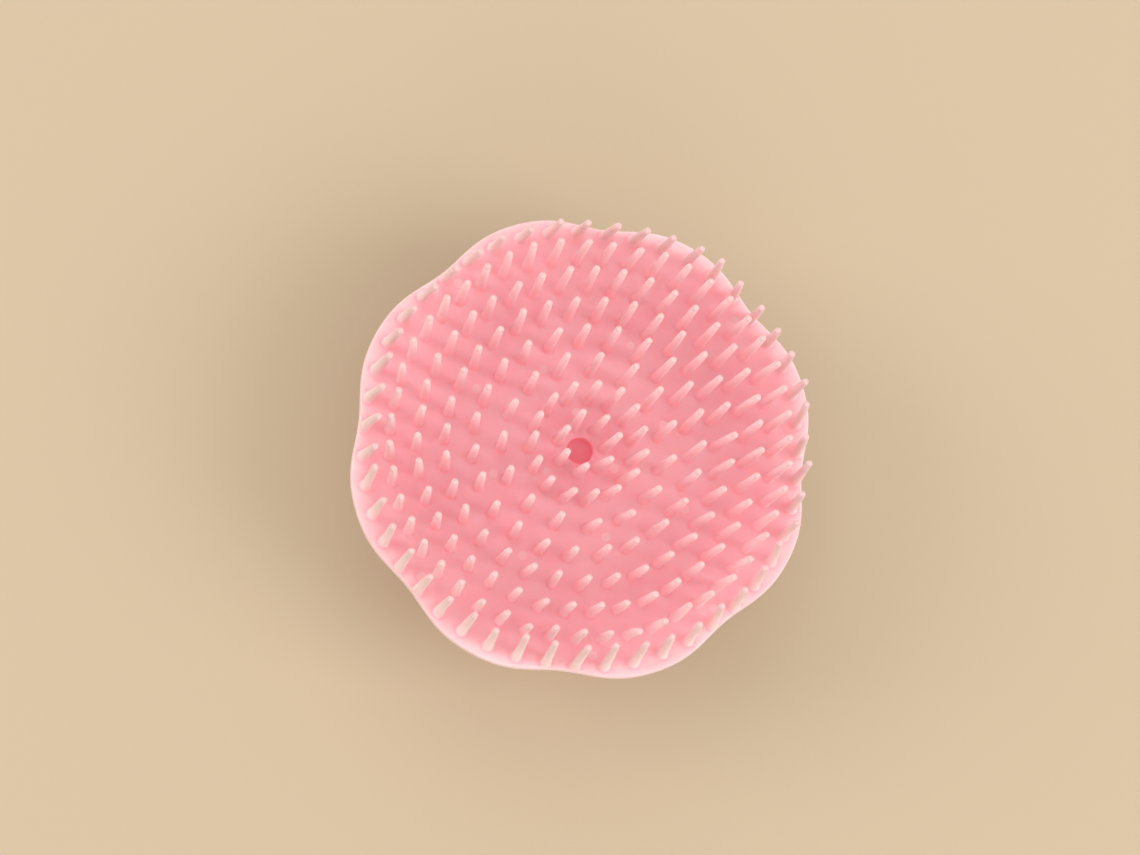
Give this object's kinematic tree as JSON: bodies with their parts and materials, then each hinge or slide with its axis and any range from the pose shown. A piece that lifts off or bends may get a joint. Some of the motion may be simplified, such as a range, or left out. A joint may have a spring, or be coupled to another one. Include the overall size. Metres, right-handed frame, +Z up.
{
  "type": "facial cleansing brush",
  "caption": "Petal-shaped soft plastic cleansing brush: a saucer-like pad with concentric rings of long tapered bristles on a round grip knob that swivels in the pad's hub.",
  "frame": {"origin": "centre of the end cap's flat face, which the brush stands on", "axes": "+Z up along the swivel's axis, out through the bristles; +Y towards the tip of one petal, on the line where every ring of bristles starts"},
  "size_m": [0.1108, 0.1108, 0.054],
  "materials": {
    "soft_pink_plastic": "translucent soft plastic with a satin, finely textured surface",
    "handle_pink_plastic": "translucent plastic with a satin moulded surface"
  },
  "bodies": {
    "handle": {"handle_knob": "handle_pink_plastic", "end_cap": "handle_pink_plastic"},
    "brush_head": {"brush_pad": "soft_pink_plastic"}
  },
  "joints": [
    {"name": "head_swivel", "type": "hinge", "parent": "handle", "child": "brush_head", "pos_m": [0, 0, 0.0196], "axis": [0, 0, 1], "continuous": true}
  ]
}
